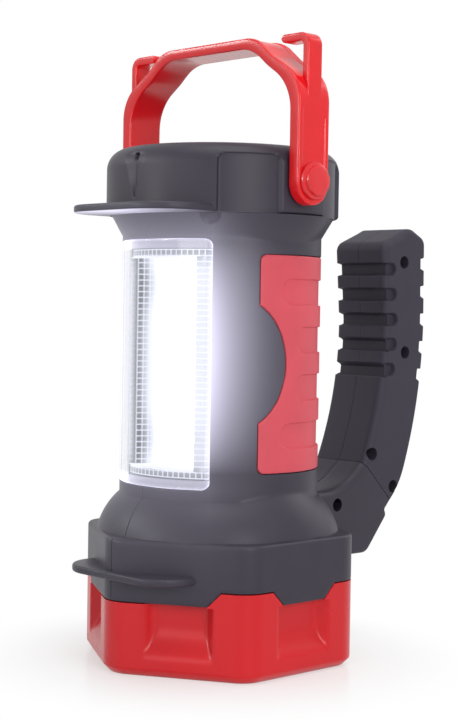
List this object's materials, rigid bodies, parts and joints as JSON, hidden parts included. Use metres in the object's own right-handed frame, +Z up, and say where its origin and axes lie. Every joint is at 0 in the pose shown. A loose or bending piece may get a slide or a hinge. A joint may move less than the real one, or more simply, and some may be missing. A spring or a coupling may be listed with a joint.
{
  "type": "camping lantern",
  "caption": "Hand-held camping lantern: round body with a curved light window, spot lamp in a six-sided red bezel, bail with hooks, and a swivelling pistol grip.",
  "frame": {"origin": "on the body's axis, on the plane that the lantern stands on", "axes": "+Z up along the body's axis, -Y towards the light window, +Y towards the pistol grip, +X to the lantern's own right as seen with the window towards the viewer and the bail up"},
  "size_m": [0.119, 0.183, 0.2639],
  "materials": {
    "black_plastic": "finely textured, satin",
    "red_gloss": "moulded, glossy",
    "red_panel": "soft, satin",
    "clear_plastic": "clear, polished",
    "tray_white": "white, moulded",
    "reflector_chrome": "vacuum-metallised",
    "emitter": "lit, white",
    "board_white": "white solder mask",
    "board_green": "green solder mask",
    "holder_plastic": "moulded",
    "cell_can": "plain can",
    "contact_brass": "plated",
    "sink_aluminium": "extruded",
    "screw_steel": "zinc-plated",
    "seal_rubber": "matte",
    "button_rubber": "matte"
  },
  "bodies": {
    "housing": {"right_shell": "black_plastic", "left_shell": "black_plastic", "base_bezel": "red_gloss", "spot_lens": "clear_plastic", "lens_seal": "seal_rubber", "spot_reflector": "reflector_chrome", "spot_led_board": "board_white", "spot_led": "emitter", "heat_sink": "sink_aluminium", "lantern_lens": "clear_plastic", "lantern_reflector": "tray_white", "lantern_led_board": "board_white", "lantern_leds": "emitter", "right_grip_panel": "red_panel", "left_grip_panel": "red_panel", "battery_holder": "holder_plastic", "battery_cells": "cell_can", "battery_contacts": "contact_brass", "driver_board": "board_green", "switch_body": "holder_plastic", "shell_screws": "screw_steel"},
    "button": {"power_button": "button_rubber"},
    "cap": {"top_cap": "black_plastic", "cap_seal": "seal_rubber", "cap_contact_plate": "contact_brass", "bail_pivots": "red_gloss"},
    "bail": {"bail": "red_gloss"},
    "grip": {"right_grip_half": "black_plastic", "left_grip_half": "black_plastic", "grip_screws": "screw_steel", "swivel_post": "holder_plastic", "swivel_washer": "screw_steel", "swivel_screw": "screw_steel"}
  },
  "joints": [
    {"name": "cap_twist", "type": "hinge", "parent": "housing", "child": "cap", "pos_m": [0, 0, 0.19], "axis": [0, 0, 1], "range_deg": [0, 30]},
    {"name": "bail_swing", "type": "hinge", "parent": "cap", "child": "bail", "pos_m": [0, -0.0018, 0.2035], "axis": [1, 0, 0], "range_deg": [-90, 90]},
    {"name": "grip_swivel", "type": "hinge", "parent": "housing", "child": "grip", "pos_m": [0, 0.08635, 0.07165], "axis": [0, 0.7071, 0.7071], "range_deg": [0, 180]},
    {"name": "button_press", "type": "slide", "parent": "housing", "child": "button", "axis": [0, -1, 0], "range_m": [0, 0.0014], "stiffness_N_per_m": 1500, "springref_m": -0.0005}
  ]
}
